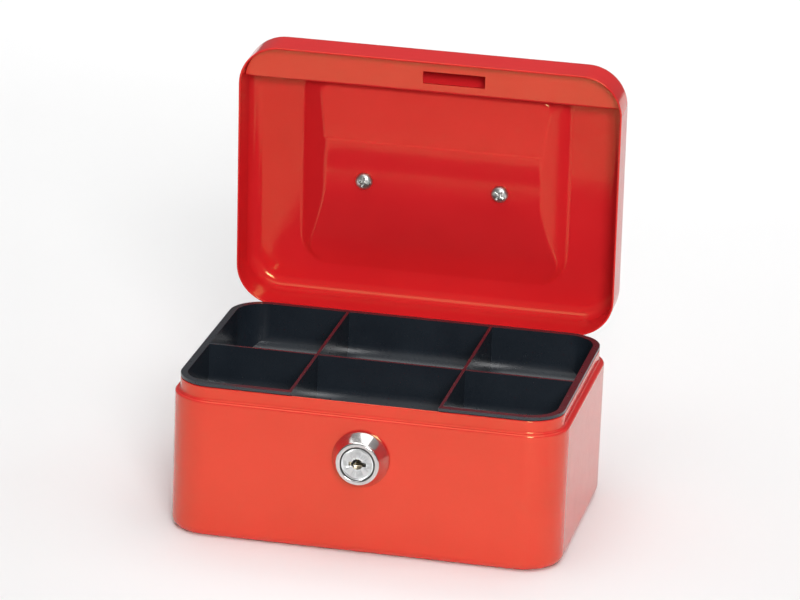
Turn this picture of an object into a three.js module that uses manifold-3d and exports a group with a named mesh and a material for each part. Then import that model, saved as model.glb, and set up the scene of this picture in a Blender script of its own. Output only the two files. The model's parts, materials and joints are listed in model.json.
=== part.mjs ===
// A small locking cash box: drawn steel tub, hinged drawn steel lid with a sunk folding handle,
// lift-out coin tray and a wafer cam lock. Millimetres, +Z up, +X right, front facing -Y.
// The origin is the centre of the tub's underside.
import * as THREE from 'three';
import { mergeVertices } from 'three/addons/utils/BufferGeometryUtils.js';
import Module from 'manifold-3d';

const wasm = await Module();
wasm.setup();

// Driving dimensions
const WIDTH = 152;
const DEPTH = 108;
const SHOULDER_Z = 54.5;
const NECK_Z = 59.5;
const LID_TOP_Z = 74.5;
const NECK_INSET = 2;
const CORNER_R = 16;
const SHEET = 0.8;
const FOOT_EDGE_R = 3.5;
const SHOULDER_EDGE_R = 1.2;
const CROWN_EDGE_R = 6;
const GAP = 0.3;

// Lid opening and hinge axis
const LID_OPEN_DEG = 86;
const HINGE_Y = DEPTH / 2 + 3;
const HINGE_Z = SHOULDER_Z + 1;
const HINGE_X = 45;
const HINGE_WIDTH = 26;
const KNUCKLE_R = 2.2;
const PIN_R = 1.2;
const PIN_BORE_R = 1.5;
const LEAF_THICK = 1;
const LEAF_BODY_LOW_Z = 40;
const LEAF_BODY_HIGH_Z = 52.9;
const LEAF_LID_LOW_Z = 58;
const LEAF_LID_HIGH_Z = 67;
const HEEL_LONG = 4.5;
const HEEL_DEEP = 1.6;

// Lid: the sunk pocket that holds the handle
const POCKET_DEEP = 7;
const POCKET_TOP_X = 52.9;
const POCKET_FLOOR_X = 42.7;
const POCKET_FRONT_Y = -43;
const POCKET_LEDGE_Y = -37;
const POCKET_LEDGE_DEEP = 5;
const POCKET_CREASE_Y = -14.8;
const POCKET_CURVE_Y = 5;
const POCKET_BEND_Y = 15;
const POCKET_BACK_Y = 40.5;
const POCKET_CORNER_R = 12;

// Lid: the strike plate that the lock's hook catches
const STRIKE_Z = 61.6;
const STRIKE_EDGE_Y = -39;
const STRIKE_LIP = 3.2;
const STRIKE_WELD_HIGH = 8;
const STRIKE_WELD_X = 36;
const SLOT_LEFT_X = -3.9;
const SLOT_RIGHT_X = 20.8;
const SLOT_FRONT_Y = -47.7;
const SLOT_BACK_Y = -42.7;

// Handle
const HANDLE_Y = 2;
const HANDLE_Z = 71.5;
const HANDLE_SCREW_X = 27.3;
const BRACKET_WIDE = 8.5;
const BRACKET_LONG = 9;
const BRACKET_TOP_Z = 73.9;
const BAIL_LEG_X = 35;
const BAIL_REACH = 25;
const BAIL_BAR = 5;
const BAIL_THICK = 4;
const TRUNNION_R = 1.4;
const SCREW_R = 1.9;
const SCREW_HEAD_R = 3.4;
const SCREW_HEAD_HIGH = 2.5;

// Lock
const LOCK_Z = 38.5;
const LOCK_FACE_Y = -61;
const BEZEL_BASE_R = 11;
const BEZEL_FACE_R = 8.4;
const BARREL_R = 8;
const BARREL_BACK_Y = -46.5;
const PLUG_R = 6.3;
const PLUG_BORE_R = 6.6;
const CAM_FRONT_Y = -46;
const CAM_THICK = 1.6;
const CAM_STEM_LEFT = -3.2;
const CAM_STEM_RIGHT = 5;
const CAM_NOSE_LEFT = -9;
const CAM_NOSE_LOW = 24.4;
const CAM_TIP_R = 27.8;
const CAM_BOSS_R = 6;
const TANG_HALF = 2.6;
const NUT_FLATS = 20;
const NUT_THICK = 3.5;
const WAFER_COUNT = 5;
const WAFER_PITCH = 2;
const WAFER_THICK = 1.1;
const WAFER_HALF_X = 4.6;
const WAFER_HALF_Z = 2.8;
const WAFER_FIRST_Y = -58;

// Coin tray
const TRAY_FLOOR_Z = 39;
const TRAY_WALL = 1.4;
const TRAY_RIM_Z = NECK_Z + GAP;
const TRAY_RIM_HIGH = 1.2;
const TRAY_DIVIDER_X = 28.8;
const TRAY_DIVIDER_Y = -5.5;
const TRAY_DIVIDER = 1.2;
const TRAY_NOTCH_Y = -41.8;
const TRAY_LOW_WALL_Z = 55;
const SCOOP_R = 8;

// ---------- solids ----------

function solid(geometry) {
  const bare = geometry.clone();
  bare.deleteAttribute('normal');
  bare.deleteAttribute('uv');
  const merged = mergeVertices(bare, 1e-4);
  return new wasm.Manifold(new wasm.Mesh({
    numProp: 3,
    vertProperties: merged.attributes.position.array,
    triVerts: new Uint32Array(merged.index.array),
  }));
}

function geometryOf(body) {
  const mesh = body.getMesh();
  const geometry = new THREE.BufferGeometry();
  geometry.setAttribute('position', new THREE.BufferAttribute(mesh.vertProperties, 3));
  geometry.setIndex(new THREE.BufferAttribute(mesh.triVerts, 1));
  const flat = geometry.toNonIndexed();
  flat.computeVertexNormals();
  return flat;
}

function roundedRect(wide, deep, radius) {
  const x = wide / 2 - radius;
  const y = deep / 2 - radius;
  const shape = new THREE.Shape();
  shape.absarc(x, y, radius, 0, Math.PI / 2);
  shape.absarc(-x, y, radius, Math.PI / 2, Math.PI);
  shape.absarc(-x, -y, radius, Math.PI, 1.5 * Math.PI);
  shape.absarc(x, -y, radius, 1.5 * Math.PI, 2 * Math.PI);
  return shape;
}

// A straight prism on a rounded rectangle, from z0 up to z1.
function prism(wide, deep, radius, z0, z1) {
  const shape = roundedRect(wide, deep, radius);
  const geometry = new THREE.ExtrudeGeometry(shape, {
    depth: z1 - z0, bevelEnabled: false, curveSegments: 6,
  });
  return solid(geometry.translate(0, 0, z0));
}

// The same prism with both its end edges rounded to the radius edge.
function softPrism(wide, deep, radius, z0, z1, edge) {
  const shape = roundedRect(wide - 2 * edge, deep - 2 * edge, radius - edge);
  const geometry = new THREE.ExtrudeGeometry(shape, {
    depth: z1 - z0 - 2 * edge, bevelEnabled: true, bevelSize: edge,
    bevelThickness: edge, bevelSegments: 3, curveSegments: 6,
  });
  return solid(geometry.translate(0, 0, z0 + edge));
}

function box(x0, x1, y0, y1, z0, z1) {
  const geometry = new THREE.BoxGeometry(x1 - x0, y1 - y0, z1 - z0);
  return solid(geometry.translate((x0 + x1) / 2, (y0 + y1) / 2, (z0 + z1) / 2));
}

// A profile drawn in the YZ plane, extruded along X.
function alongX(shape, x0, x1) {
  const geometry = new THREE.ExtrudeGeometry(shape, {
    depth: x1 - x0, bevelEnabled: false, curveSegments: 5,
  });
  geometry.rotateY(Math.PI / 2);
  geometry.rotateX(Math.PI / 2);
  return solid(geometry.translate(x0, 0, 0));
}

// A profile drawn in the XZ plane, extruded along Y.
function alongY(shape, y0, y1, segments = 8) {
  const geometry = new THREE.ExtrudeGeometry(shape, {
    depth: y1 - y0, bevelEnabled: false, curveSegments: segments,
  });
  geometry.rotateX(Math.PI / 2);
  return solid(geometry.translate(0, y1, 0));
}

function rodX(radius, x0, x1, y, z, segments = 16) {
  const geometry = new THREE.CylinderGeometry(radius, radius, x1 - x0, segments);
  geometry.rotateZ(Math.PI / 2);
  return solid(geometry.translate((x0 + x1) / 2, y, z));
}

function rodY(radius, y0, y1, x, z, segments = 24) {
  const geometry = new THREE.CylinderGeometry(radius, radius, y1 - y0, segments);
  return solid(geometry.translate(x, (y0 + y1) / 2, z));
}

function rodZ(radius, z0, z1, x, y, segments = 16) {
  const geometry = new THREE.CylinderGeometry(radius, radius, z1 - z0, segments);
  geometry.rotateX(Math.PI / 2);
  return solid(geometry.translate(x, y, (z0 + z1) / 2));
}

function polygon(points) {
  return new THREE.Shape(points.map(([a, b]) => new THREE.Vector2(a, b)));
}

// ---------- materials ----------

function finish(color, roughness, metalness) {
  return new THREE.MeshStandardMaterial({ color, roughness, metalness });
}

const redEnamel = () => finish(0xd9301f, 0.3, 0);
const blackPlastic = () => finish(0x1a2028, 0.5, 0);
const chrome = () => finish(0xd8d8d8, 0.18, 1);
const zincSteel = () => finish(0xb5b5b0, 0.35, 1);
const brass = () => finish(0xb9a055, 0.35, 1);

function piece(name, body, material) {
  const mesh = new THREE.Mesh(geometryOf(body), material);
  mesh.name = name;
  return mesh;
}

// ---------- tub ----------

function makeBodyShell() {
  const far = SHOULDER_Z + 40;
  const neckW = WIDTH - 2 * NECK_INSET;
  const neckD = DEPTH - 2 * NECK_INSET;
  const tub = softPrism(WIDTH, DEPTH, CORNER_R, 0, far, FOOT_EDGE_R)
    .intersect(softPrism(WIDTH, DEPTH, CORNER_R, -far, SHOULDER_Z, SHOULDER_EDGE_R));
  const neck = prism(neckW, neckD, CORNER_R - NECK_INSET, SHOULDER_Z - 5, NECK_Z);
  const tubRoom = softPrism(WIDTH - 2 * SHEET, DEPTH - 2 * SHEET, CORNER_R - SHEET, SHEET,
    SHOULDER_Z - SHEET, FOOT_EDGE_R - SHEET);
  const neckRoom = prism(neckW - 2 * SHEET, neckD - 2 * SHEET,
    CORNER_R - NECK_INSET - SHEET, SHOULDER_Z - 6, NECK_Z + 1);
  const lockHole = rodY(BARREL_R + GAP, -DEPTH / 2 - 1, -DEPTH / 2 + 2, 0, LOCK_Z, 28);
  return tub.add(neck).subtract(tubRoom).subtract(neckRoom).subtract(lockHole);
}

// ---------- lid, drawn closed ----------

// The sunk pocket grown by grow on every side, open upwards past the lid's top.
function pocket(grow) {
  const top = LID_TOP_Z;
  const floor = top - POCKET_DEEP - grow;
  const rise = 6;
  const side = new THREE.Shape();
  side.moveTo(POCKET_FRONT_Y - grow, top + rise);
  side.lineTo(POCKET_FRONT_Y - grow, top);
  side.lineTo(POCKET_LEDGE_Y, top - POCKET_LEDGE_DEEP - grow);
  side.lineTo(POCKET_CREASE_Y, floor);
  side.lineTo(POCKET_CURVE_Y, floor);
  side.quadraticCurveTo(POCKET_BEND_Y, floor, POCKET_BACK_Y + grow, top);
  side.lineTo(POCKET_BACK_Y + grow, top + rise);
  const topX = POCKET_TOP_X + grow;
  const floorX = POCKET_FLOOR_X + grow;
  const front = polygon([[-topX, top + rise], [-topX, top], [-floorX, floor],
    [floorX, floor], [topX, top], [topX, top + rise]]);
  const middleY = (POCKET_FRONT_Y + POCKET_BACK_Y) / 2;
  const outline = prism(2 * topX, POCKET_BACK_Y - POCKET_FRONT_Y + 2 * grow,
    POCKET_CORNER_R + grow, floor - 1, top + rise).translate([0, middleY, 0]);
  return alongX(side, -topX - 1, topX + 1)
    .intersect(alongY(front, POCKET_FRONT_Y - 5, POCKET_BACK_Y + 5))
    .intersect(outline);
}

function makeLidShell() {
  const rimZ = SHOULDER_Z + GAP;
  const far = 30;
  const outer = softPrism(WIDTH, DEPTH, CORNER_R, rimZ - far, LID_TOP_Z, CROWN_EDGE_R)
    .intersect(prism(WIDTH + 10, DEPTH + 10, CORNER_R, rimZ, LID_TOP_Z + 1));
  const room = softPrism(WIDTH - 2 * SHEET, DEPTH - 2 * SHEET, CORNER_R - SHEET,
    rimZ - far, LID_TOP_Z - SHEET, CROWN_EDGE_R - SHEET);
  const sink = pocket(SHEET).intersect(outer);
  let lid = outer.subtract(room).add(sink).subtract(pocket(0));
  for (const side of [-1, 1]) {
    const x = side * HANDLE_SCREW_X;
    lid = lid.subtract(rodZ(SCREW_R + GAP, 60, LID_TOP_Z, x, HANDLE_Y));
  }
  return lid;
}

function makeStrikePlate() {
  const inset = SHEET + GAP;
  const frontY = -DEPTH / 2 + inset;
  const sheet = prism(WIDTH - 2 * inset, DEPTH - 2 * inset, CORNER_R - inset,
    STRIKE_Z, STRIKE_Z + SHEET)
    .intersect(box(-WIDTH, WIDTH, -DEPTH, STRIKE_EDGE_Y, STRIKE_Z - 1, STRIKE_Z + 2));
  const lipX = WIDTH / 2 - inset - 0.2;
  const lip = box(-lipX, lipX, STRIKE_EDGE_Y - SHEET, STRIKE_EDGE_Y,
    STRIKE_Z, STRIKE_Z + STRIKE_LIP);
  const weld = box(-STRIKE_WELD_X, STRIKE_WELD_X, frontY, frontY + SHEET,
    STRIKE_Z, STRIKE_Z + STRIKE_WELD_HIGH);
  const slot = box(SLOT_LEFT_X, SLOT_RIGHT_X, SLOT_FRONT_Y, SLOT_BACK_Y,
    STRIKE_Z - 1, STRIKE_Z + 2);
  return sheet.add(lip).add(weld).subtract(slot);
}

// ---------- handle, drawn folded into the closed lid ----------

// The bail is drawn reaching back from its pivot, then mirrored to reach forwards.
function makeBail() {
  const half = BAIL_LEG_X + BAIL_BAR / 2;
  const inner = BAIL_LEG_X - BAIL_BAR / 2;
  const reach = BAIL_REACH + BAIL_BAR / 2;
  const eye = -BAIL_BAR / 2;
  const round = 7;
  const edge = 1.2;
  const shape = new THREE.Shape();
  shape.moveTo(-half + edge, eye + edge);
  shape.lineTo(-inner - edge, eye + edge);
  shape.lineTo(-inner - edge, reach - BAIL_BAR - 2 + edge);
  shape.quadraticCurveTo(-inner - edge, reach - BAIL_BAR + edge, -inner + 2, reach - BAIL_BAR + edge);
  shape.lineTo(inner - 2, reach - BAIL_BAR + edge);
  shape.quadraticCurveTo(inner + edge, reach - BAIL_BAR + edge, inner + edge, reach - BAIL_BAR - 2 + edge);
  shape.lineTo(inner + edge, eye + edge);
  shape.lineTo(half - edge, eye + edge);
  shape.lineTo(half - edge, reach - round);
  shape.absarc(half - round, reach - round, round - edge, 0, Math.PI / 2);
  shape.absarc(-half + round, reach - round, round - edge, Math.PI / 2, Math.PI);
  shape.lineTo(-half + edge, eye + edge);
  const bar = new THREE.ExtrudeGeometry(shape, {
    depth: BAIL_THICK - 2 * edge, bevelEnabled: true, bevelSize: edge,
    bevelThickness: edge, bevelSegments: 2, curveSegments: 5,
  });
  let bail = solid(bar.translate(0, 0, HANDLE_Z - BAIL_THICK / 2 + edge));
  const stubIn = HANDLE_SCREW_X + BRACKET_WIDE / 2 - 1.8;
  for (const side of [-1, 1]) {
    const x0 = side > 0 ? stubIn : -BAIL_LEG_X;
    const x1 = side > 0 ? BAIL_LEG_X : -stubIn;
    bail = bail.add(rodX(TRUNNION_R, x0, x1, 0, HANDLE_Z));
  }
  return bail.mirror([0, 1, 0]).translate([0, HANDLE_Y, 0]);
}

function makeBracket(side) {
  const x = side * HANDLE_SCREW_X;
  const footZ = LID_TOP_Z - POCKET_DEEP + GAP;
  const block = softPrism(BRACKET_WIDE, BRACKET_LONG, 2, footZ, BRACKET_TOP_Z, 0.8)
    .translate([x, HANDLE_Y, 0]);
  const outerX = x + side * BRACKET_WIDE / 2;
  const boreIn = outerX - side * 2.1;
  const boreOut = outerX + side * 1;
  const bore = rodX(TRUNNION_R + GAP, Math.min(boreIn, boreOut), Math.max(boreIn, boreOut),
    HANDLE_Y, HANDLE_Z);
  const thread = rodZ(SCREW_R + GAP, footZ - 1, footZ + 4.2, x, HANDLE_Y);
  return block.subtract(bore).subtract(thread);
}

// Pan head with a cross recess under the lid's pocket, shank up into the bracket.
function makeHandleScrew(side) {
  const headTop = LID_TOP_Z - POCKET_DEEP - SHEET - GAP;
  const profile = new THREE.Path();
  profile.moveTo(0, -SCREW_HEAD_HIGH);
  profile.quadraticCurveTo(SCREW_HEAD_R * 0.9, -SCREW_HEAD_HIGH, SCREW_HEAD_R, -0.6);
  profile.lineTo(SCREW_HEAD_R, 0);
  profile.lineTo(SCREW_R, 0);
  profile.lineTo(SCREW_R, 4.6);
  profile.lineTo(0, 4.6);
  const turned = new THREE.LatheGeometry(profile.getPoints(4), 20);
  turned.rotateX(Math.PI / 2);
  let screw = solid(turned);
  for (const turn of [0, Math.PI / 2]) {
    const arm = new THREE.BoxGeometry(4.2, 0.9, 3.0);
    arm.rotateZ(turn + Math.PI / 5);
    screw = screw.subtract(solid(arm.translate(0, 0, -SCREW_HEAD_HIGH)));
  }
  return screw.translate([side * HANDLE_SCREW_X, HANDLE_Y, headTop]);
}

// ---------- hinges ----------

function knuckle(x0, x1) {
  return rodX(KNUCKLE_R, x0, x1, HINGE_Y, HINGE_Z);
}

function hingeBore(x) {
  return rodX(PIN_BORE_R, x - HINGE_WIDTH, x + HINGE_WIDTH, HINGE_Y, HINGE_Z);
}

function makeBodyLeaf(x) {
  const y0 = DEPTH / 2 + GAP;
  const y1 = y0 + LEAF_THICK;
  const half = HINGE_WIDTH / 2;
  const third = HINGE_WIDTH / 6;
  const plate = box(x - half, x + half, y0, y1, LEAF_BODY_LOW_Z, LEAF_BODY_HIGH_Z);
  const web = box(x - third, x + third, y0, y1, LEAF_BODY_HIGH_Z - 0.5, HINGE_Z);
  return plate.add(web).add(knuckle(x - third, x + third)).subtract(hingeBore(x));
}

function makeLidLeaf(x) {
  const y0 = DEPTH / 2 + GAP;
  const y1 = y0 + LEAF_THICK;
  const half = HINGE_WIDTH / 2;
  const third = HINGE_WIDTH / 6;
  let leaf = box(x - half, x + half, y0, y1, LEAF_LID_LOW_Z, LEAF_LID_HIGH_Z);
  for (const side of [-1, 1]) {
    const x0 = side < 0 ? x - half : x + third + GAP;
    const x1 = side < 0 ? x - third - GAP : x + half;
    leaf = leaf.add(box(x0, x1, y0, y1, HINGE_Z, LEAF_LID_LOW_Z + 0.5));
    leaf = leaf.add(knuckle(x0, x1));
    leaf = leaf.add(box(x0, x1, HINGE_Y, HINGE_Y + HEEL_LONG, HINGE_Z - HEEL_DEEP, HINGE_Z + 1));
  }
  return leaf.subtract(hingeBore(x));
}

function makeHingePin(x) {
  const half = HINGE_WIDTH / 2;
  const shank = rodX(PIN_R, x - half - 0.4, x + half + 1, HINGE_Y, HINGE_Z, 12);
  const head = rodX(KNUCKLE_R, x + half + GAP, x + half + 1.4, HINGE_Y, HINGE_Z, 12);
  return shank.add(head);
}

// ---------- lock ----------

function makeLockHousing() {
  const seatY = -DEPTH / 2 - GAP;
  const profile = polygon([
    [PLUG_BORE_R, LOCK_FACE_Y], [BEZEL_FACE_R - 0.5, LOCK_FACE_Y],
    [BEZEL_FACE_R, LOCK_FACE_Y + 0.6], [BEZEL_BASE_R, seatY - 1.6],
    [BEZEL_BASE_R, seatY], [BARREL_R, seatY], [BARREL_R, BARREL_BACK_Y],
    [PLUG_BORE_R, BARREL_BACK_Y], [PLUG_BORE_R, LOCK_FACE_Y]]);
  const turned = new THREE.LatheGeometry(profile.getPoints(), 32);
  return solid(turned).translate([0, 0, LOCK_Z]);
}

function makeLockNut() {
  const y0 = -DEPTH / 2 + SHEET + GAP;
  const hex = new THREE.CylinderGeometry(NUT_FLATS / Math.sqrt(3), NUT_FLATS / Math.sqrt(3), NUT_THICK, 6);
  return solid(hex.translate(0, y0 + NUT_THICK / 2, LOCK_Z))
    .subtract(rodY(BARREL_R + GAP, y0 - 1, y0 + NUT_THICK + 1, 0, LOCK_Z, 28));
}

function waferY(index) {
  return WAFER_FIRST_Y + index * WAFER_PITCH;
}

// The slit for a flat two-sided key: a bar with a round bulge in its middle.
function keyway(halfX, halfZ, bulgeR, y0, y1) {
  return box(-halfX, halfX, y0, y1, -halfZ, halfZ).add(rodY(bulgeR, y0, y1, 0, 0, 16));
}

function makeLockPlug() {
  const tangBack = CAM_FRONT_Y + CAM_THICK + GAP;
  let plug = rodY(PLUG_R, LOCK_FACE_Y + 0.2, CAM_FRONT_Y - GAP, 0, 0, 32);
  plug = plug.add(box(-TANG_HALF, TANG_HALF, CAM_FRONT_Y - 1, tangBack, -TANG_HALF, TANG_HALF));
  const keyDepth = waferY(WAFER_COUNT - 1) + 1.5;
  plug = plug.subtract(keyway(3.4, 0.95, 2.1, LOCK_FACE_Y - 1, keyDepth));
  for (let i = 0; i < WAFER_COUNT; i += 1) {
    const y = waferY(i);
    const half = WAFER_THICK / 2 + GAP;
    plug = plug.subtract(box(-WAFER_HALF_X - GAP, WAFER_HALF_X + GAP, y - half, y + half,
      -WAFER_HALF_Z - GAP, WAFER_HALF_Z + GAP));
  }
  plug = plug.subtract(rodY(1.5, CAM_FRONT_Y - 2.4, tangBack + 1, 0, 0, 12));
  return plug.translate([0, 0, LOCK_Z]);
}

function makeWafer(index) {
  const y = waferY(index);
  const half = WAFER_THICK / 2;
  const shift = index % 2 === 0 ? 0.15 : -0.15;
  const plate = box(-WAFER_HALF_X, WAFER_HALF_X, y - half, y + half, -WAFER_HALF_Z, WAFER_HALF_Z);
  const window = box(-2.9 + shift, 2.9 + shift, y - 2, y + 2, -1.1, 1.1);
  return plate.subtract(window).translate([0, 0, LOCK_Z]);
}

// A plate with a hooked arm, drawn with its arm up, as it stands when locked.
function makeLockCam() {
  const tipHigh = Math.sqrt(CAM_TIP_R ** 2 - CAM_STEM_RIGHT ** 2);
  const tipStart = Math.atan2(tipHigh, CAM_STEM_RIGHT);
  const tipEnd = Math.acos(CAM_NOSE_LEFT / CAM_TIP_R);
  const arm = new THREE.Shape();
  arm.moveTo(CAM_STEM_LEFT, 0);
  arm.lineTo(CAM_STEM_RIGHT, 0);
  arm.lineTo(CAM_STEM_RIGHT, tipHigh);
  arm.absarc(0, 0, CAM_TIP_R, tipStart, tipEnd);
  arm.lineTo(CAM_NOSE_LEFT, CAM_NOSE_LOW);
  arm.lineTo(CAM_STEM_LEFT, CAM_NOSE_LOW);
  arm.lineTo(CAM_STEM_LEFT, 0);
  const back = CAM_FRONT_Y + CAM_THICK;
  const hole = TANG_HALF + GAP;
  const cam = alongY(arm, CAM_FRONT_Y, back, 6)
    .add(rodY(CAM_BOSS_R, CAM_FRONT_Y, back, 0, 0))
    .subtract(box(-hole, hole, CAM_FRONT_Y - 1, back + 1, -hole, hole));
  return cam.rotate([0, 90, 0]).translate([0, 0, LOCK_Z]);
}

function makeCamScrew() {
  const seat = CAM_FRONT_Y + CAM_THICK + 2 * GAP;
  const shank = rodY(1.2, CAM_FRONT_Y - 1.8, seat + 0.5, 0, 0, 12);
  const head = rodY(4, seat, seat + 1.4, 0, 0, 20);
  const slit = box(-5, 5, seat + 0.8, seat + 3, -0.5, 0.5);
  return shank.add(head).subtract(slit).translate([0, 0, LOCK_Z]);
}

// ---------- coin tray ----------

// One cell with floor and wall meeting in a scoop at its front and its back.
function trayCell(x0, x1, y0, y1) {
  const floor = TRAY_FLOOR_Z + TRAY_WALL;
  const top = TRAY_RIM_Z + TRAY_RIM_HIGH + 1;
  const side = new THREE.Shape();
  side.moveTo(y0, top);
  side.lineTo(y0, floor + SCOOP_R);
  side.absarc(y0 + SCOOP_R, floor + SCOOP_R, SCOOP_R, Math.PI, 1.5 * Math.PI);
  side.absarc(y1 - SCOOP_R, floor + SCOOP_R, SCOOP_R, 1.5 * Math.PI, 2 * Math.PI);
  side.lineTo(y1, top);
  return alongX(side, x0, x1);
}

function makeCoinTray() {
  const neckW = WIDTH - 2 * NECK_INSET;
  const neckD = DEPTH - 2 * NECK_INSET;
  const clear = 2 * (SHEET + 0.5);
  const radius = CORNER_R - NECK_INSET;
  const rimTop = TRAY_RIM_Z + TRAY_RIM_HIGH;
  const pan = prism(neckW - clear, neckD - clear, radius - clear / 2, TRAY_FLOOR_Z, rimTop);
  const rim = prism(neckW, neckD, radius, TRAY_RIM_Z, rimTop);
  const roomX = neckW / 2 - clear / 2 - TRAY_WALL;
  const roomY = neckD / 2 - clear / 2 - TRAY_WALL;
  const room = prism(2 * roomX, 2 * roomY, radius - clear / 2 - TRAY_WALL,
    TRAY_FLOOR_Z, rimTop + 2);
  const half = TRAY_DIVIDER / 2;
  const columns = [[-roomX, -TRAY_DIVIDER_X - half], [-TRAY_DIVIDER_X + half, TRAY_DIVIDER_X - half],
    [TRAY_DIVIDER_X + half, roomX]];
  let tray = pan.add(rim);
  columns.forEach(([x0, x1], column) => {
    const frontY = column === 1 ? TRAY_NOTCH_Y + TRAY_WALL : -roomY;
    tray = tray.subtract(trayCell(x0, x1, frontY, TRAY_DIVIDER_Y - half).intersect(room));
    tray = tray.subtract(trayCell(x0, x1, TRAY_DIVIDER_Y + half, roomY).intersect(room));
  });
  const notchX = TRAY_DIVIDER_X - half;
  tray = tray.subtract(box(-notchX, notchX, -DEPTH, TRAY_NOTCH_Y, 0, rimTop + 2));
  const lowWallBack = TRAY_NOTCH_Y + TRAY_WALL + 1;
  return tray.subtract(box(-notchX, notchX, TRAY_NOTCH_Y - 1, lowWallBack,
    TRAY_LOW_WALL_Z, rimTop + 2));
}

// ---------- assembly ----------

const cashBox = new THREE.Group();
cashBox.add(piece('body_shell', makeBodyShell(), redEnamel()));
cashBox.add(piece('coin_tray', makeCoinTray(), blackPlastic()));

const lock = new THREE.Group();
lock.add(piece('lock_housing', makeLockHousing(), chrome()));
lock.add(piece('lock_nut', makeLockNut(), zincSteel()));
lock.add(piece('lock_plug', makeLockPlug(), chrome()));
lock.add(piece('lock_cam', makeLockCam(), zincSteel()));
lock.add(piece('cam_screw', makeCamScrew(), zincSteel()));
for (let i = 0; i < WAFER_COUNT; i += 1) {
  lock.add(piece(`lock_wafer_${i + 1}`, makeWafer(i), brass()));
}
cashBox.add(lock);

// The lid group turns about the hinge axis, so its pieces keep their closed places inside it.
const lidTurn = new THREE.Group();
lidTurn.position.set(0, HINGE_Y, HINGE_Z);
lidTurn.rotation.x = -THREE.MathUtils.degToRad(LID_OPEN_DEG);
const lid = new THREE.Group();
lid.position.set(0, -HINGE_Y, -HINGE_Z);
lidTurn.add(lid);
cashBox.add(lidTurn);

lid.add(piece('lid_shell', makeLidShell(), redEnamel()));
lid.add(piece('strike_plate', makeStrikePlate(), redEnamel()));
lid.add(piece('handle_bail', makeBail(), chrome()));

const SIDES = [['left', -1], ['right', 1]];
for (const [word, side] of SIDES) {
  lid.add(piece(`handle_bracket_${word}`, makeBracket(side), chrome()));
  lid.add(piece(`handle_screw_${word}`, makeHandleScrew(side), zincSteel()));
  lid.add(piece(`hinge_lid_leaf_${word}`, makeLidLeaf(side * HINGE_X), redEnamel()));
  cashBox.add(piece(`hinge_body_leaf_${word}`, makeBodyLeaf(side * HINGE_X), redEnamel()));
  cashBox.add(piece(`hinge_pin_${word}`, makeHingePin(side * HINGE_X), zincSteel()));
}

export default cashBox;
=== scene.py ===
"""A small red cash box, open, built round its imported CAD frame."""

import json
import math

import bmesh
import bpy
from mathutils import Matrix, Vector
from mathutils.geometry import delaunay_2d_cdt


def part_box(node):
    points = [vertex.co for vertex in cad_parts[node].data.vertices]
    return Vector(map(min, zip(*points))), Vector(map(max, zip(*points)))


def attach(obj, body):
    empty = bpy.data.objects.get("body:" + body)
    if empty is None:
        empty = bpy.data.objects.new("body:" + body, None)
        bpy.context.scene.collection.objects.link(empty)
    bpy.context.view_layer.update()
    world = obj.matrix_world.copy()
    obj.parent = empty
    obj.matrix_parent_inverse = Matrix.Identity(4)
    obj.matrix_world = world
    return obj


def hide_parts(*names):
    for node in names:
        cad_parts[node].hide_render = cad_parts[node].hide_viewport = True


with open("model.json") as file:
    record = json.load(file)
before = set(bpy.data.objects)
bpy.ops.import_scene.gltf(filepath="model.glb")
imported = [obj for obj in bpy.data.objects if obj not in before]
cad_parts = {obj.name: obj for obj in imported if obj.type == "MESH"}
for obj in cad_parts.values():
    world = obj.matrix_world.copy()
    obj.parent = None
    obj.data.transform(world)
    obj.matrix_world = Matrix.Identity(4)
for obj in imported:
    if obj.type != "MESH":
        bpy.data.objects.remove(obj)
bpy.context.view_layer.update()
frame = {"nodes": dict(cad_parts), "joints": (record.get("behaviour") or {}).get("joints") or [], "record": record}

MM = 0.001

# ---------- sizes, in millimetres; the large ones come from the frame ----------

TUB_HI = Vector(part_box("body_shell")[1]) / MM
HALF_X = TUB_HI.x
HALF_Y = TUB_HI.y
NECK_Z = TUB_HI.z
SHOULDER_DROP = 5.0
SHOULDER_Z = NECK_Z - SHOULDER_DROP
CORNER_R = 16.0
SHEET = 0.8
NECK_INSET = 2.0
FOOT_R = 3.5
CROWN_R = 6.0
GAP = 0.3

HINGE = frame["joints"][[j["name"] for j in frame["joints"]].index("lid_hinge")]
HINGE_POINT = Vector(HINGE["pos_m"])
OPEN_ANGLE = math.radians(HINGE["range_deg"][1])
# Turns a piece drawn in the closed lid's place to where the open lid has it.
OPENING = (Matrix.Translation(HINGE_POINT) @ Matrix.Rotation(-OPEN_ANGLE, 4, "X")
           @ Matrix.Translation(-HINGE_POINT))
CLOSING = OPENING.inverted()


def closed_box(node):
    """Corners of a lid node, in millimetres, where it stands when the lid is shut."""
    points = [CLOSING @ v.co / MM for v in frame["nodes"][node].data.vertices]
    low = Vector(min(p[i] for p in points) for i in range(3))
    high = Vector(max(p[i] for p in points) for i in range(3))
    return low, high


LID_LO, LID_HI = closed_box("lid_shell")
STRIKE_LO, STRIKE_HI = closed_box("strike_plate")
BAIL_LO, BAIL_HI = closed_box("handle_bail")
LID_TOP = LID_HI.z
RIM_Z = LID_LO.z


# ---------- mesh helpers ----------

def make(name, verts, faces, place=None):
    """A smooth-shaded object from millimetre vertices, moved by place if it is given."""
    mesh = bpy.data.meshes.new(name)
    mesh.from_pydata([tuple(Vector(v) * MM) for v in verts], [], faces)
    tidy = bmesh.new()
    tidy.from_mesh(mesh)
    bmesh.ops.remove_doubles(tidy, verts=tidy.verts, dist=1e-6)
    bmesh.ops.recalc_face_normals(tidy, faces=tidy.faces)
    tidy.to_mesh(mesh)
    tidy.free()
    if place is not None:
        mesh.transform(place)
    mesh.shade_smooth()
    obj = bpy.data.objects.new(name, mesh)
    bpy.context.scene.collection.objects.link(obj)
    return obj


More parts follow.
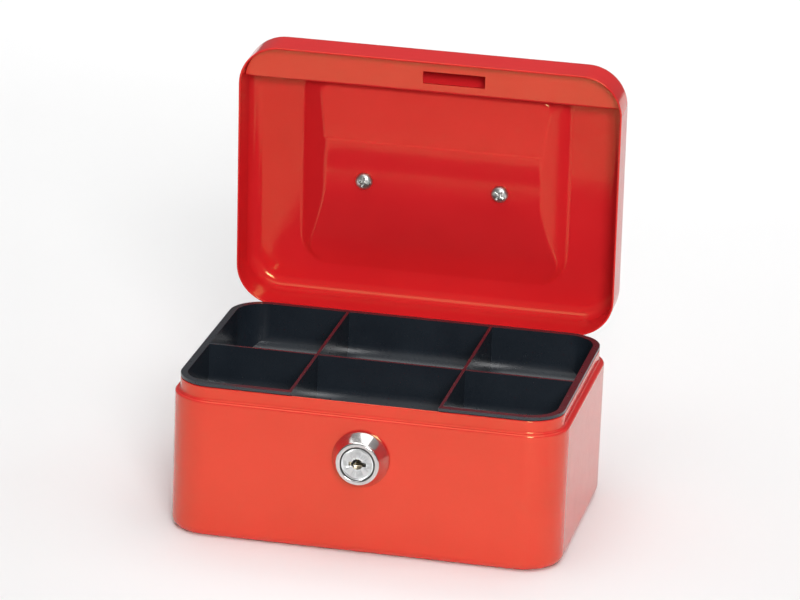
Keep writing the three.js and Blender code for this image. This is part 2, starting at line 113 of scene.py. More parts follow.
def arc(cx, cy, radius, start, end, steps):
    """Points on an arc from start to end degrees, both ends in."""
    turns = [math.radians(start + (end - start) * i / steps) for i in range(steps + 1)]
    return [(cx + radius * math.cos(t), cy + radius * math.sin(t)) for t in turns]


def rounded_outline(half_x, half_y, radius, steps=14):
    """Counter-clockwise points of a rounded rectangle."""
    radius = max(radius, 0.02)
    points = []
    corners = ((1, 1, 0), (-1, 1, 90), (-1, -1, 180), (1, -1, 270))
    for sx, sy, start in corners:
        cx = sx * (half_x - radius)
        cy = sy * (half_y - radius)
        points += arc(cx, cy, radius, start, start + 90, steps)
    return points


def ring(inset, z, steps=14):
    """A level ring round the box, set in from its outer outline."""
    outline = rounded_outline(HALF_X - inset, HALF_Y - inset, CORNER_R - inset, steps)
    return [(x, y, z) for x, y in outline]


def loft(rings):
    """Vertices and side faces through rings that have equal counts of points."""
    count = len(rings[0])
    verts = [p for one in rings for p in one]
    faces = []
    for level in range(len(rings) - 1):
        for i in range(count):
            j = (i + 1) % count
            a = level * count
            b = a + count
            faces.append((a + i, a + j, b + j, b + i))
    return verts, faces


def prism(name, outline, z0, z1):
    """An upright prism on a closed outline."""
    low = [(x, y, z0) for x, y in outline]
    high = [(x, y, z1) for x, y in outline]
    verts, faces = loft([low, high])
    count = len(outline)
    faces.append(tuple(range(count)))
    faces.append(tuple(range(count, 2 * count)))
    return make(name, verts, faces)


def prism_x(name, outline, x0, x1):
    """A prism along X on an outline given in Y and Z."""
    near = [(x0, y, z) for y, z in outline]
    far = [(x1, y, z) for y, z in outline]
    verts, faces = loft([near, far])
    count = len(outline)
    faces.append(tuple(range(count)))
    faces.append(tuple(range(count, 2 * count)))
    return make(name, verts, faces)


def slab(name, x0, x1, y0, y1, z0, z1):
    """A box between those limits, in millimetres."""
    return prism(name, [(x0, y0), (x1, y0), (x1, y1), (x0, y1)], z0, z1)


def turned(name, profile, axis, centre, steps=64, place=None):
    """A solid of revolution. profile holds (radius, distance along axis) and starts and
    ends on the axis, or closes on itself."""
    rings = []
    for radius, along in profile:
        one = []
        for i in range(steps):
            t = 2 * math.pi * i / steps
            a = radius * math.cos(t)
            b = radius * math.sin(t)
            offset = {"X": (along, a, b), "Y": (a, along, b), "Z": (a, b, along)}[axis]
            one.append(tuple(Vector(centre) + Vector(offset)))
        rings.append(one)
    verts, faces = loft(rings)
    return make(name, verts, faces, place)


def evaluated_mesh(obj):
    graph = bpy.context.evaluated_depsgraph_get()
    return bpy.data.meshes.new_from_object(obj.evaluated_get(graph))


def combine(target, other, how="DIFFERENCE"):
    """Cuts, joins or intersects target with other, which is used up."""
    step = target.modifiers.new("combine", "BOOLEAN")
    step.operation = how
    step.solver = "EXACT"
    step.object = other
    mesh = evaluated_mesh(target)
    target.modifiers.clear()
    target.data = mesh
    bpy.data.objects.remove(other)


def even_normals(obj):
    """Evens out the shading of the flats."""
    even = obj.modifiers.new("even_normals", "WEIGHTED_NORMAL")
    even.keep_sharp = True
    return obj


def soften(obj, width, segments=3, angle=32):
    """Rounds the sharp edges and evens out the shading of the flats."""
    for polygon in obj.data.polygons:
        polygon.use_smooth = True
    bevel = obj.modifiers.new("edge_round", "BEVEL")
    bevel.width = width * MM
    bevel.segments = segments
    bevel.limit_method = "ANGLE"
    bevel.angle_limit = math.radians(angle)
    bevel.harden_normals = False
    even_normals(obj)


# ---------- materials ----------

def new_material(name):
    material = bpy.data.materials.new(name)
    material.use_nodes = True
    nodes = material.node_tree.nodes
    return material, nodes, material.node_tree.links, nodes["Principled BSDF"]


def noise(nodes, links, scale, detail=3.0, stretch=(1, 1, 1)):
    """Solid noise in the object's own space; scale is in features per metre."""
    where = nodes.new("ShaderNodeTexCoord")
    mapping = nodes.new("ShaderNodeMapping")
    mapping.inputs["Scale"].default_value = stretch
    links.new(where.outputs["Object"], mapping.inputs["Vector"])
    texture = nodes.new("ShaderNodeTexNoise")
    texture.inputs["Scale"].default_value = scale
    texture.inputs["Detail"].default_value = detail
    links.new(mapping.outputs["Vector"], texture.inputs["Vector"])
    return texture.outputs["Fac"]


def ramp(nodes, links, value, stops):
    """A colour ramp on value; stops hold (position, colour)."""
    node = nodes.new("ShaderNodeValToRGB")
    elements = node.color_ramp.elements
    while len(elements) < len(stops):
        elements.new(0.5)
    for element, (position, colour) in zip(elements, stops):
        element.position = position
        element.color = colour
    links.new(value, node.inputs["Fac"])
    return node.outputs["Color"]


def spread(nodes, links, value, low, high):
    """Maps a noise value to the range low to high."""
    node = nodes.new("ShaderNodeMapRange")
    node.inputs["From Min"].default_value = 0.3
    node.inputs["From Max"].default_value = 0.7
    node.inputs["To Min"].default_value = low
    node.inputs["To Max"].default_value = high
    links.new(value, node.inputs["Value"])
    return node.outputs["Result"]


def bumps(nodes, links, heights, shader):
    """Chains bumps of (value, depth in metres) into the shader's normal."""
    last = None
    for value, depth in heights:
        node = nodes.new("ShaderNodeBump")
        node.inputs["Strength"].default_value = 1.0
        node.inputs["Distance"].default_value = depth
        links.new(value, node.inputs["Height"])
        if last is not None:
            links.new(last, node.inputs["Normal"])
        last = node.outputs["Normal"]
    links.new(last, shader.inputs["Normal"])


def red_enamel(name, gloss):
    """Stove enamel: even red, faint orange peel, fine dust nibs and a little haze."""
    material, nodes, links, shader = new_material(name)
    broad = noise(nodes, links, 28.0, 2.0)
    colour = ramp(nodes, links, broad, [
        (0.25, (0.64, 0.016, 0.020, 1)), (0.75, (0.70, 0.019, 0.024, 1))])
    links.new(colour, shader.inputs["Base Color"])
    haze = noise(nodes, links, 160.0, 4.0)
    links.new(spread(nodes, links, haze, 0.10, 0.16), shader.inputs["Roughness"])
    shader.inputs["Specular IOR Level"].default_value = gloss
    shader.inputs["Specular Tint"].default_value = (1.0, 1.0, 0.42, 1)
    peel = noise(nodes, links, 520.0, 1.5)
    nibs = noise(nodes, links, 2600.0, 0.0)
    bumps(nodes, links, [(peel, 0.0000022), (nibs, 0.0000004)], shader)
    return material


def black_plastic():
    """Blue-black moulded plastic with a satin skin, fine flow marks and scuffs."""
    material, nodes, links, shader = new_material("black_plastic")
    flow = noise(nodes, links, 60.0, 3.0, (1, 2.2, 1))
    colour = ramp(nodes, links, flow, [
        (0.2, (0.008, 0.012, 0.018, 1)), (0.8, (0.014, 0.020, 0.028, 1))])
    links.new(colour, shader.inputs["Base Color"])
    scuff = noise(nodes, links, 900.0, 5.0)
    links.new(spread(nodes, links, scuff, 0.27, 0.31), shader.inputs["Roughness"])
    shader.inputs["Specular IOR Level"].default_value = 0.75
    grain = noise(nodes, links, 3000.0, 2.0)
    bumps(nodes, links, [(flow, 0.00002), (grain, 0.0000008)], shader)
    return material


def metal(name, base, light, dark, rough, fine_scale, stretch=(1, 1, 1), depth=0.000002):
    """Bare or plated metal: light and dark are the base's bounds, rough its roughness range."""
    material, nodes, links, shader = new_material(name)
    tarnish = noise(nodes, links, 240.0, 4.0)
    low = tuple(c * dark for c in base) + (1,)
    high = tuple(min(1.0, c * light) for c in base) + (1,)
    links.new(ramp(nodes, links, tarnish, [(0.3, low), (0.7, high)]),
              shader.inputs["Base Color"])
    shader.inputs["Metallic"].default_value = 1.0
    fine = noise(nodes, links, fine_scale, 3.0, stretch)
    links.new(spread(nodes, links, fine, *rough), shader.inputs["Roughness"])
    bumps(nodes, links, [(fine, depth)], shader)
    return material


RED = red_enamel("red_enamel", 0.92)
LID_RED = red_enamel("lid_enamel", 0.42)
BLACK = black_plastic()
CHROME = metal("chrome", (0.66, 0.64, 0.63), 1.06, 0.90, (0.08, 0.16), 900.0)
NICKEL = metal("satin_nickel", (0.74, 0.75, 0.75), 1.06, 0.9, (0.26, 0.40), 2400.0,
               (1, 1, 4), 0.000004)
ZINC = metal("zinc_steel", (0.62, 0.62, 0.60), 1.08, 0.82, (0.24, 0.42), 1800.0)
BRASS = metal("brass", (0.58, 0.50, 0.36), 1.05, 0.8, (0.25, 0.4), 2000.0)

SLOT_MATERIAL = {"red_enamel": RED, "black_plastic": BLACK, "chrome": CHROME,
                 "satin_nickel": NICKEL, "zinc_steel": ZINC, "brass": BRASS}
NODE_SLOT = {s["node"]: s["material_slot"] for s in frame["record"]["subparts"]}


def finish_piece(obj, node, body):
    """Gives the piece its node's finish, hides that node and ties the piece to the body."""
    slot = NODE_SLOT[node]
    obj.data.materials.clear()
    obj.data.materials.append(LID_RED if node == "lid_shell" else SLOT_MATERIAL[slot])
    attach(obj, body)
    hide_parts(node)
    return obj


# ---------- tub ----------

def make_tub():
    shoulder_r = 0.9
    lip = SHEET / 2
    outside = [(FOOT_R, 0.0)]
    outside += [(FOOT_R - x, FOOT_R + y) for x, y in arc(0, 0, FOOT_R, 270, 360, 8)]
    outside += [(shoulder_r - x, SHOULDER_Z - shoulder_r + y)
                for x, y in arc(0, 0, shoulder_r, 0, 90, 6)]
    root = 0.7
    outside += [(NECK_INSET - root - x, SHOULDER_Z + root + y)
                for x, y in arc(0, 0, root, 270, 180, 5)]
    middle = NECK_INSET + lip
    edge = [(middle - x, NECK_Z - lip + y) for x, y in arc(0, 0, lip, 0, 180, 8)]
    under = SHOULDER_Z - SHEET
    inner_root = 1.0
    inside = [(NECK_INSET + SHEET, under + 1.2)]
    inside += [(NECK_INSET + SHEET - 0.6, under)]
    inside += [(SHEET + inner_root, under), (SHEET, under - inner_root)]
    low = FOOT_R - SHEET
    inside += [(SHEET + low - x, SHEET + low + y) for x, y in arc(0, 0, low, 360, 270, 8)]
    profile = outside + edge + inside
    verts, faces = loft([ring(inset, z) for inset, z in profile])
    count = len(ring(0, 0))
    faces.append(tuple(range(count)))
    faces.append(tuple(range(len(verts) - count, len(verts))))
    tub = make("body_shell_skin", verts, faces)
    bore_r = LOCK_BARREL_R + GAP
    bore = turned("lock_bore", [(0, -HALF_Y - 2), (bore_r, -HALF_Y - 2), (bore_r, -HALF_Y + 3),
                                (0, -HALF_Y + 3)], "Y", LOCK_CENTRE, 48)
    combine(tub, bore)
    for polygon in tub.data.polygons:
        polygon.use_smooth = True
    tub.data.set_sharp_from_angle(angle=math.radians(50))
    return finish_piece(even_normals(tub), "body_shell", "box")


# ---------- lid ----------

POCKET_DEEP = 7.0
POCKET_HALF_X = 53.7
POCKET_FRONT = -43.8
POCKET_BACK = 41.3
POCKET_CORNER_R = 12.0
POCKET_SIDE_SLOPE = 0.69
POCKET_LEDGE_Y = -37.0
POCKET_LEDGE_DEEP = 5.0
POCKET_CREASE_Y = -14.8
POCKET_CURVE_Y = 5.0
POCKET_BEND_Y = 15.0
CREASE_FILLET = 0.5
CREASE_STEP = 0.6
CREASE_STEP_LENGTH = 0.8
CREASE_FADE_LENGTH = 11.0
EDGE_FILLET = 0.55


def soft_min(a, b, k):
    h = max(k - abs(a - b), 0.0) / k
    return min(a, b) - h * h * k / 4


def inside_outline(x, y):
    """Distance inwards from the pocket's rounded outline; negative outside it."""
    middle = (POCKET_FRONT + POCKET_BACK) / 2
    half_y = (POCKET_BACK - POCKET_FRONT) / 2
    dx = abs(x) - (POCKET_HALF_X - POCKET_CORNER_R)
    dy = abs(y - middle) - (half_y - POCKET_CORNER_R)
    reach = math.hypot(max(dx, 0.0), max(dy, 0.0)) + min(max(dx, dy), 0.0)
    return POCKET_CORNER_R - reach


def pocket_floor(y):
    """Depth along the pocket's middle: a ramp, a level part and a bend up to the back."""
    share = (y - POCKET_LEDGE_Y) / (POCKET_CREASE_Y - POCKET_LEDGE_Y)
    slope = POCKET_LEDGE_DEEP + share * (POCKET_DEEP - POCKET_LEDGE_DEEP)
    if y <= POCKET_CURVE_Y:
        bend = POCKET_DEEP
    else:
        a = POCKET_CURVE_Y - 2 * POCKET_BEND_Y + POCKET_BACK
        b = POCKET_BEND_Y - POCKET_CURVE_Y
        t = (-b + math.sqrt(b * b + a * (y - POCKET_CURVE_Y))) / a
        bend = POCKET_DEEP * (1 - t * t)
    return soft_min(slope, bend, CREASE_FILLET)


def crease_step(y):
    """The pressed line along the crease: a short step that fades out behind it."""
    along = y - POCKET_CREASE_Y
    if along <= 0:
        return 0.0
    if along < CREASE_STEP_LENGTH:
        t = along / CREASE_STEP_LENGTH
        return CREASE_STEP * t * t * (3 - 2 * t)
    left = max(0.0, 1 - (along - CREASE_STEP_LENGTH) / CREASE_FADE_LENGTH)
    return CREASE_STEP * left


def pocket_depth(x, y):
    """How far the lid's top is pressed in at a point, in millimetres."""
    wall = inside_outline(x, y) * POCKET_SIDE_SLOPE
    floor = pocket_floor(min(y, POCKET_BACK)) + crease_step(y)
    depth = soft_min(floor, wall, EDGE_FILLET)
    return -soft_min(-depth, 0.0, EDGE_FILLET)


def steps_between(start, end, step):
    count = max(1, round((end - start) / step))
    return [start + (end - start) * i / count for i in range(count)]


def top_sheet(outline):
    """Triangles over the lid's top inside the outline, finest along the pocket's edges."""
    points = [Vector(p) for p in outline]
    right = steps_between(1.0, 40.0, 2.0) + steps_between(40.0, 55.4, 0.5) + [55.4]
    columns = [-x for x in reversed(right)] + right
    rows = steps_between(-45.6, -34.0, 0.6) + steps_between(-34.0, -17.5, 1.3)
    rows += steps_between(-17.5, -15.0, 0.4) + steps_between(-15.0, -13.8, 0.12)
    rows += steps_between(-13.8, -12.5, 0.4) + steps_between(-12.5, 26.0, 1.3)
    rows += steps_between(26.0, 43.2, 0.6) + [43.2]
    points += [Vector((x, y)) for x in columns for y in rows]
    boundary = [list(range(len(outline)))]
    flat, _, faces, _, _, _ = delaunay_2d_cdt(points, [], boundary, 1, 1e-5)
    return flat, faces


def make_lid():
    hem = SHEET / 2
    crown = CROWN_R
    outside = [(hem - x, RIM_Z + hem + y) for x, y in arc(0, 0, hem, 180, 360, 8)]
    outside += [(crown - x, LID_TOP - crown + y) for x, y in arc(0, 0, crown, 0, 90, 10)]
    inner = crown - SHEET
    inside = [(crown - x, LID_TOP - crown + y) for x, y in arc(0, 0, inner, 90, 0, 10)]
    profile = inside + outside
    verts, faces = loft([ring(inset, z) for inset, z in profile])
    flat, sheet = top_sheet(rounded_outline(HALF_X - crown, HALF_Y - crown, CORNER_R - crown))
    start = len(verts)
    verts += [(p.x, p.y, LID_TOP - pocket_depth(p.x, p.y)) for p in flat]
    faces += [tuple(start + i for i in face) for face in sheet]
    start = len(verts)
    verts += [(p.x, p.y, LID_TOP - SHEET - pocket_depth(p.x, p.y)) for p in flat]
    faces += [tuple(start + i for i in reversed(face)) for face in sheet]
    lid = make("lid_shell_skin", verts, faces, OPENING)
    return finish_piece(even_normals(lid), "lid_shell", "lid")


def make_strike_plate():
    z0 = STRIKE_LO.z
    y0 = STRIKE_LO.y
    y1 = STRIKE_HI.y
    bend = 1.1
    weld_high = STRIKE_HI.z
    lip_high = z0 + 3.2
    section = [(y0, weld_high)]
    section += [(y0 + bend + x, z0 + bend + z) for x, z in arc(0, 0, bend, 180, 270, 5)]
    section += [(y1 - bend + x, z0 + bend + z) for x, z in arc(0, 0, bend, 270, 360, 5)]
    section += [(y1, lip_high), (y1 - SHEET, lip_high)]
    inner = bend - SHEET
    section += [(y1 - bend + x, z0 + bend + z) for x, z in arc(0, 0, inner, 360, 270, 4)]
    section += [(y0 + bend + x, z0 + bend + z) for x, z in arc(0, 0, inner, 270, 180, 4)]
    section += [(y0 + SHEET, weld_high)]
    reach = STRIKE_HI.x
    plate = prism_x("strike_plate_skin", section, -reach - 1, reach + 1)
    inset = SHEET + GAP
    outline = rounded_outline(HALF_X - inset, HALF_Y - inset, CORNER_R - inset, 16)
    combine(plate, prism("strike_trim", outline, z0 - 2, weld_high + 2), "INTERSECT")
    for side in (-1, 1):
        x0, x1 = sorted((side * 36.0, side * (reach + 3)))
        combine(plate, slab("weld_trim", x0, x1, y0 - 1, y0 + 4, z0 + 1.2, weld_high + 2))
    combine(plate, slab("slot_cut", SLOT_X[0], SLOT_X[1], SLOT_Y[0], SLOT_Y[1],
                        z0 - 2, z0 + 2))
    plate.data.transform(OPENING)
    soften(plate, 0.1, 2)
    return finish_piece(plate, "strike_plate", "lid")


# ---------- handle ----------

TRUNNION_R = 1.4
TRUNNION_BORE_R = TRUNNION_R + GAP


def make_bail():
    half = BAIL_HI.x
    bar = 5.0
    far = BAIL_LO.y
    eye = BAIL_HI.y
    inner = half - bar
    outer_r = 8.0
    inner_r = 3.2
    outline = [(-half, eye), (-inner, eye)]
    outline += arc(-inner + inner_r, far + bar + inner_r, inner_r, 180, 270, 6)
    outline += arc(inner - inner_r, far + bar + inner_r, inner_r, 270, 360, 6)
    outline += [(inner, eye), (half, eye)]
    outline += arc(half - outer_r, far + outer_r, outer_r, 0, -90, 10)
    outline += arc(-half + outer_r, far + outer_r, outer_r, 270, 180, 10)
    bail = prism("handle_bail_skin", outline, BAIL_LO.z, BAIL_HI.z)
    bail.data.transform(OPENING)
    soften(bail, 1.7, 5, 40)
    middle_z = (BAIL_LO.z + BAIL_HI.z) / 2
    for side in (-1, 1):
        x0 = side * 29.8
        x1 = side * (inner + 1.5)
        stub = turned(f"bail_trunnion_{'left' if side < 0 else 'right'}",
                      [(0, x0), (TRUNNION_R, x0), (TRUNNION_R, x1), (0, x1)], "X",
                      (0, eye - bar / 2, middle_z), 24, OPENING)
        stub.data.materials.append(CHROME)
        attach(stub, "handle")
    return finish_piece(bail, "handle_bail", "handle")


def make_bracket(word):
    low, high = closed_box(f"handle_bracket_{word}")
    centre = (low + high) / 2
    outline = rounded_outline((high.x - low.x) / 2, (high.y - low.y) / 2, 2.0, 8)
    outline = [(x + centre.x, y + centre.y) for x, y in outline]
    block = prism(f"handle_bracket_{word}_skin", outline, low.z, high.z)
    side = 1 if centre.x > 0 else -1
    outer = high.x if side > 0 else low.x
    blind = outer - side * 2.1
    beyond = outer + side
    bore = turned("bore", [(0, blind), (TRUNNION_BORE_R, blind), (TRUNNION_BORE_R, beyond),
                           (0, beyond)], "X",
                  (0, centre.y, (BAIL_LO.z + BAIL_HI.z) / 2), 24)
    combine(block, bore)
    block.data.transform(OPENING)
    soften(block, 0.5, 4)
    return finish_piece(block, f"handle_bracket_{word}", "lid")


def make_handle_screw(word):
    """Pan head with a cross recess, seen on the inside of the lid."""
    low, high = closed_box(f"handle_screw_{word}")
    centre = (low + high) / 2
    head_r = (high.x - low.x) / 2
    head_high = 2.5
    shank_r = 1.9
    dome_high = 1.9
    seat = low.z + head_high
    crown = [(head_r * math.sin(t), low.z + dome_high - dome_high * math.cos(t))
             for t in (math.radians(a) for a in range(0, 91, 10))]
    profile = crown + [(head_r, seat), (shank_r, seat), (shank_r, high.z), (0, high.z)]
    screw = turned(f"handle_screw_{word}_skin", profile, "Z", (centre.x, centre.y, 0), 48)
    turn = 0.6 if centre.x > 0 else 0.2
    for quarter in (0, math.pi / 2):
        arm = slab("recess", -2.1, 2.1, -0.45, 0.45, low.z - 1, low.z + 1.5)
        spin = Matrix.Rotation(turn + quarter, 4, "Z")
        arm.data.transform(Matrix.Translation((centre.x * MM, centre.y * MM, 0)) @ spin)
        combine(screw, arm)
    pit = turned("pit", [(0, low.z - 1), (1.15, low.z - 1), (1.15, low.z + 0.3),
                         (0.2, low.z + 2.0), (0, low.z + 2.0)], "Z",
                 (centre.x, centre.y, 0), 24)
    combine(screw, pit)
    screw.data.transform(OPENING)
    soften(screw, 0.09, 2, 40)
    return finish_piece(screw, f"handle_screw_{word}", "lid")


# ---------- lock ----------

HOUSING_LO, HOUSING_HI = (Vector(c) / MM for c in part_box("lock_housing"))
PLUG_LO, PLUG_HI = (Vector(c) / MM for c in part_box("lock_plug"))
LOCK_Z = (HOUSING_LO.z + HOUSING_HI.z) / 2
LOCK_CENTRE = (0, 0, LOCK_Z)
LOCK_BARREL_R = 8.0
SLOT_X = (-3.9, 20.8)
SLOT_Y = (-47.7, -42.7)


def make_lock_housing():
    face = HOUSING_LO.y
    seat = -HALF_Y - GAP
    base_r = HOUSING_HI.x
    face_r = 8.4
    bore = 6.55
    profile = [(bore, face + 0.35), (bore + 0.3, face + 0.05), (bore + 0.45, face)]
    profile += [(face_r - 0.55, face), (face_r - 0.25, face + 0.1), (face_r, face + 0.45)]
    profile += [(face_r + 0.15, face + 1.2), (base_r - 0.35, seat - 1.5)]
    profile += [(base_r - 0.08, seat - 1.1), (base_r, seat - 0.7), (base_r, seat)]
    profile += [(LOCK_BARREL_R, seat), (LOCK_BARREL_R, HOUSING_HI.y)]
    profile += [(bore, HOUSING_HI.y), (bore, face + 0.35)]
    housing = turned("lock_housing_skin", profile, "Y", LOCK_CENTRE, 96)
    housing.data.set_sharp_from_angle(angle=math.radians(50))
    return finish_piece(even_normals(housing), "lock_housing", "box")


def make_lock_plug():
    face = PLUG_LO.y
    back = -46.3
    radius = 6.3
    profile = [(0, face), (5.55, face), (5.65, face + 0.18), (5.85, face + 0.18)]
    profile += [(5.95, face), (radius - 0.2, face), (radius, face + 0.2)]
    profile += [(radius, back), (0, back)]
    plug = turned("lock_plug_skin", profile, "Y", LOCK_CENTRE, 96)
    way = 11.0
    blade = slab("blade_cut", -3.4, 3.4, face - 1, face + way, LOCK_Z - 0.75, LOCK_Z + 0.75)
    combine(plug, blade)
    bulge = turned("bulge_cut", [(0, face - 1), (2.1, face - 1), (2.1, face + way),
                                 (0, face + way)], "Y", LOCK_CENTRE, 32)
    combine(plug, bulge)
    tang = slab("tang", -2.6, 2.6, back - 0.5, PLUG_HI.y, LOCK_Z - 2.6, LOCK_Z + 2.6)
    combine(plug, tang, "UNION")
    soften(plug, 0.12, 2, 40)
    return finish_piece(plug, "lock_plug", "plug")


# ---------- coin tray ----------

TRAY_LO, TRAY_HI = (Vector(c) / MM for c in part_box("coin_tray"))


def make_coin_tray():
    wall = 1.4
    divider = 1.2
    divider_x = 28.8
    divider_y = -5.5
    notch_y = -41.8
    low_wall_top = 55.0
    scoop = 8.0
    rim_high = 1.2
    inset = NECK_INSET + SHEET + 0.5
    floor = TRAY_LO.z + wall
    top = TRAY_HI.z
    pan_outline = rounded_outline(HALF_X - inset, HALF_Y - inset, CORNER_R - inset, 14)
    tray = prism("coin_tray_skin", pan_outline, TRAY_LO.z, top - 0.02)
    rim_outline = rounded_outline(TRAY_HI.x, TRAY_HI.y, CORNER_R - NECK_INSET, 14)
    combine(tray, prism("rim", rim_outline, top - rim_high, top), "UNION")
    room_x = HALF_X - inset - wall
    room_y = HALF_Y - inset - wall
    room_outline = rounded_outline(room_x, room_y, CORNER_R - inset - wall, 14)
    half = divider / 2
    columns = [(-room_x, -divider_x - half), (-divider_x + half, divider_x - half),
               (divider_x + half, room_x)]
    for column, (x0, x1) in enumerate(columns):
        front = notch_y + wall if column == 1 else -room_y
        for y0, y1 in ((front, divider_y - half), (divider_y + half, room_y)):
            section = [(y0, top + 1)]
            section += arc(y0 + scoop, floor + scoop, scoop, 180, 270, 12)
            section += arc(y1 - scoop, floor + scoop, scoop, 270, 360, 12)
            section += [(y1, top + 1)]
            cell = prism_x("cell", section, x0, x1)
            combine(cell, prism("room", room_outline, TRAY_LO.z, top + 2), "INTERSECT")
            combine(tray, cell)
    notch_x = divider_x - half
    combine(tray, slab("notch", -notch_x, notch_x, -HALF_Y - 2, notch_y, 0, top + 2))
    combine(tray, slab("low_wall", -notch_x, notch_x, notch_y - 1, notch_y + wall + 1,
                       low_wall_top, top + 2))
    soften(tray, 0.5, 4, 28)
    return finish_piece(tray, "coin_tray", "box")


# ---------- hinges ----------

LEAF_THICK = 1.0
KNUCKLE_R = 2.2
PIN_R = 1.2
PIN_BORE_R = 1.5


def make_leaf(node, body, side_knuckles, place):
    """A leaf with its rolled knuckles; the lid's leaf is drawn in the closed place."""
    low, high = closed_box(node) if place is not None else (Vector(c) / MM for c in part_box(node))
    axis_y = HINGE_POINT.y / MM
    axis_z = HINGE_POINT.z / MM
    face = HALF_Y + GAP
    centre = (low.x + high.x) / 2
    half = (high.x - low.x) / 2
    third = half / 3
    if side_knuckles:
        leaf = slab(node + "_skin", centre - half, centre + half, face, face + LEAF_THICK,
                    axis_z + 2.5, high.z)
        spans = [(centre - half, centre - third - GAP), (centre + third + GAP, centre + half)]
    else:
        leaf = slab(node + "_skin", centre - half, centre + half, face, face + LEAF_THICK,
                    low.z, axis_z - 2.6)
        spans = [(centre - third, centre + third)]
    for x0, x1 in spans:
        web_z = (axis_z, axis_z + 3) if side_knuckles else (axis_z - 3.1, axis_z)
        combine(leaf, slab("web", x0, x1, face, face + LEAF_THICK, *web_z), "UNION")
        barrel = turned("barrel", [(0, x0), (KNUCKLE_R, x0), (KNUCKLE_R, x1), (0, x1)], "X",
                        (0, axis_y, axis_z), 40)
        combine(leaf, barrel, "UNION")
        if side_knuckles:
            heel = slab("heel", x0, x1, axis_y, axis_y + 4.5, axis_z - 1.6, axis_z + 1.0)
            combine(leaf, heel, "UNION")
    bore = turned("pin_bore", [(0, low.x - 1), (PIN_BORE_R, low.x - 1),
                               (PIN_BORE_R, high.x + 1), (0, high.x + 1)], "X",
                  (0, axis_y, axis_z), 32)
    combine(leaf, bore)
    if place is not None:
        leaf.data.transform(place)
    soften(leaf, 0.18, 2, 35)
    return finish_piece(leaf, node, body)


def make_hinge_pin(word):
    low, high = (Vector(c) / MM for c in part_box(f"hinge_pin_{word}"))
    profile = [(0, low.x), (0.9, low.x), (PIN_R, low.x + 0.3), (PIN_R, high.x - 1.1)]
    profile += [(2.0, high.x - 1.1), (2.2, high.x - 0.9), (2.1, high.x - 0.35)]
    profile += [(1.4, high.x - 0.05), (0, high.x)]
    pin = turned(f"hinge_pin_{word}_skin", profile, "X",
                 (0, (low.y + high.y) / 2, (low.z + high.z) / 2), 32)
    pin.data.set_sharp_from_angle(angle=math.radians(50))
    return finish_piece(pin, f"hinge_pin_{word}", "box")


# ---------- the pieces ----------

make_tub()
make_lid()
make_strike_plate()
make_coin_tray()
make_bail()
make_lock_housing()
make_lock_plug()
for side_word in ("left", "right"):
    make_bracket(side_word)
    make_handle_screw(side_word)
    make_leaf(f"hinge_body_leaf_{side_word}", "box", False, None)
    make_leaf(f"hinge_lid_leaf_{side_word}", "lid", True, OPENING)
    make_hinge_pin(side_word)

# The lock's inner pieces keep their CAD shapes, with rounded edges.
for node_name in ["lock_nut", "lock_cam", "cam_screw"] + [f"lock_wafer_{i}" for i in range(1, 6)]:
    cad = frame["nodes"][node_name]
    cad.data.materials.clear()
    cad.data.materials.append(SLOT_MATERIAL[NODE_SLOT[node_name]])
    soften(cad, 0.12, 2, 40)


# ---------- floor, light and camera ----------

def make_floor():
    mesh = bpy.data.meshes.new("floor")
    reach = 6.0
    mesh.from_pydata([(-reach, -reach, 0), (reach, -reach, 0), (reach, reach, 0),
                      (-reach, reach, 0)], [], [(0, 1, 2, 3)])
    floor = bpy.data.objects.new("floor", mesh)
    bpy.context.scene.collection.objects.link(floor)
    material, nodes, links, shader = new_material("pale_floor")
    shade = noise(nodes, links, 3.0, 2.0)
    links.new(ramp(nodes, links, shade, [(0.3, (0.86, 0.86, 0.86, 1)),
                                         (0.7, (0.89, 0.89, 0.89, 1))]),
              shader.inputs["Base Color"])
    shader.inputs["Roughness"].default_value = 0.8
    mesh.materials.append(material)


def add_area(name, location, target, size, power, spread_deg=180):
    """A white rectangular lamp aimed at target; size in metres, power in watts."""
    data = bpy.data.lights.new(name, "AREA")
    data.shape = "RECTANGLE"
    data.size, data.size_y = size
    data.energy = power
    data.spread = math.radians(spread_deg)
    lamp = bpy.data.objects.new(name, data)
    lamp.location = location
    lamp.rotation_mode = "QUATERNION"
    lamp.rotation_quaternion = (Vector(target) - Vector(location)).to_track_quat("-Z", "Y")
    bpy.context.scene.collection.objects.link(lamp)


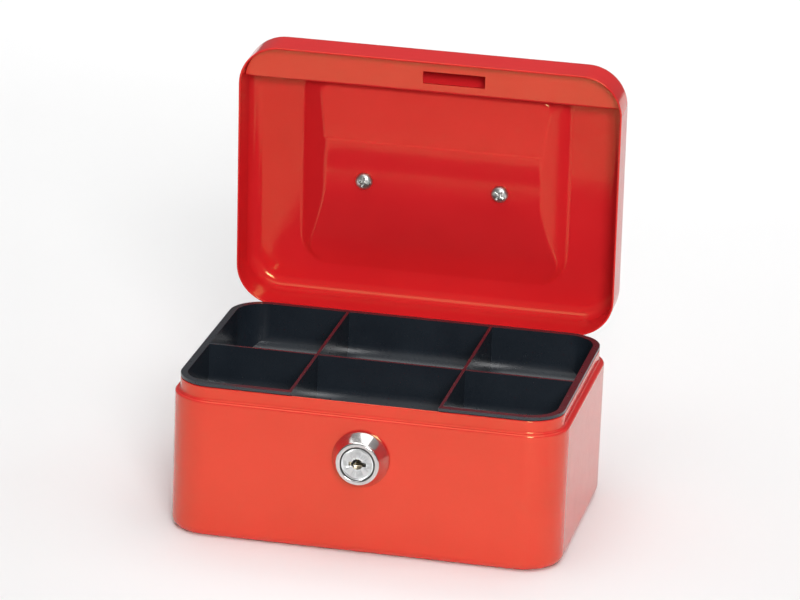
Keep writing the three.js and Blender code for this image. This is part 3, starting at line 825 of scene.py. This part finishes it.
def light_scene():
    bpy.context.scene.view_settings.view_transform = "Standard"
    world = bpy.data.worlds.new("studio")
    bpy.context.scene.world = world
    world.use_nodes = True
    nodes = world.node_tree.nodes
    links = world.node_tree.links
    where = nodes.new("ShaderNodeTexCoord")
    axes = nodes.new("ShaderNodeSeparateXYZ")
    links.new(where.outputs["Generated"], axes.inputs["Vector"])
    sky = ramp(nodes, links, axes.outputs["Z"], [
        (0.0, (0.16, 0.16, 0.16, 1)), (0.5, (0.16, 0.16, 0.16, 1)),
        (0.75, (0.30, 0.30, 0.30, 1)), (1.0, (0.45, 0.45, 0.45, 1))])
    links.new(sky, nodes["Background"].inputs["Color"])
    nodes["Background"].inputs["Strength"].default_value = 1.1
    middle = (0, 0.02, 0.08)
    add_area("overhead", (0.05, -0.15, 1.3), middle, (1.3, 1.0), 7.3)
    add_area("front_right", (0.5, -1.5, 0.8), middle, (0.5, 0.5), 1.7, 50)
    add_area("backdrop", (0, 1.9, 1.6), (0, 2.0, 0), (3.0, 2.6), 30.0, 110)


def direction(azimuth, elevation):
    """Unit vector towards a viewer at that azimuth and elevation, in degrees."""
    a = math.radians(azimuth)
    e = math.radians(elevation)
    return Vector((math.sin(a) * math.cos(e), -math.cos(a) * math.cos(e), math.sin(e)))


def make_camera():
    """A long lens, at the angle that the reference view was taken from."""
    stand = direction(11.269, 18.423)
    back = direction(11.212, 17.984)
    roll = math.radians(2.328)
    distance = 1.7888
    aim = Vector((0, 0, 0.07))
    pixels_wide = 800
    focal_pixels = 4660.6
    data = bpy.data.cameras.new("camera")
    data.sensor_width = 36.0
    data.lens = focal_pixels / pixels_wide * data.sensor_width
    data.clip_start = 0.1
    data.clip_end = 50.0
    right = Vector((-back.y, back.x, 0)).normalized()
    up = back.cross(right)
    side = right * math.cos(roll) + up * math.sin(roll)
    top = up * math.cos(roll) - right * math.sin(roll)
    camera = bpy.data.objects.new("camera", data)
    turn = Matrix((side, top, back)).transposed()
    camera.matrix_world = Matrix.Translation(aim + stand * distance) @ turn.to_4x4()
    bpy.context.scene.collection.objects.link(camera)
    bpy.context.scene.camera = camera


make_floor()
light_scene()
make_camera()
